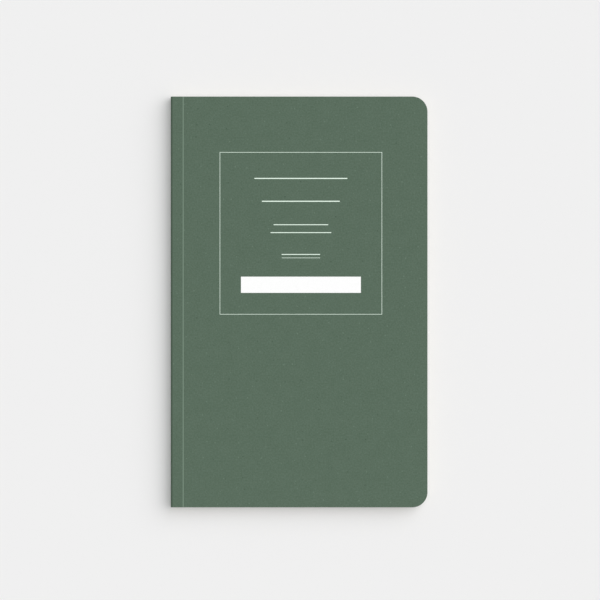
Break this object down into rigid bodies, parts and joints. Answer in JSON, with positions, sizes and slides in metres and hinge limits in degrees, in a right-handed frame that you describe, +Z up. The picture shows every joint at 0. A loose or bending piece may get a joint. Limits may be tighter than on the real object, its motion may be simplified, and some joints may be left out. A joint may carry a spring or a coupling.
{
  "type": "composition notebook",
  "caption": "Soft-cover notebook with a square glued spine, pressed hinge lines, rounded fore-edge corners and a square outline with a white write-in field on the front.",
  "frame": {"origin": "middle of the underside of the back cover, with the closed notebook lying on it", "axes": "+X from the spine to the fore edge, +Y from tail to head, +Z up out of the front cover"},
  "size_m": [0.127, 0.2032, 0.007],
  "materials": {
    "cover_card": "uncoated green cover card with a fine felt grain, matte",
    "writing_paper": "uncoated off-white writing paper, matte",
    "binding_glue": "set hot-melt glue, satin",
    "outline_ink": "pale matte ink film",
    "white_ink": "opaque white ink film, matte"
  },
  "bodies": {
    "block": {"page_block": "writing_paper", "spine_glue": "binding_glue", "front_side_glue": "binding_glue", "back_side_glue": "binding_glue", "spine_wrap": "cover_card"},
    "front": {"front_cover": "cover_card", "label_frame": "outline_ink", "label_rules": "outline_ink", "name_field": "white_ink"},
    "back": {"back_cover": "cover_card"}
  },
  "joints": [
    {"name": "front_cover_hinge", "type": "hinge", "parent": "block", "child": "front", "pos_m": [-0.0573, 0, 0.007], "axis": [0, -1, 0], "range_deg": [0, 180]},
    {"name": "back_cover_hinge", "type": "hinge", "parent": "block", "child": "back", "pos_m": [-0.0573, 0, 0], "axis": [0, 1, 0], "range_deg": [0, 180]}
  ]
}
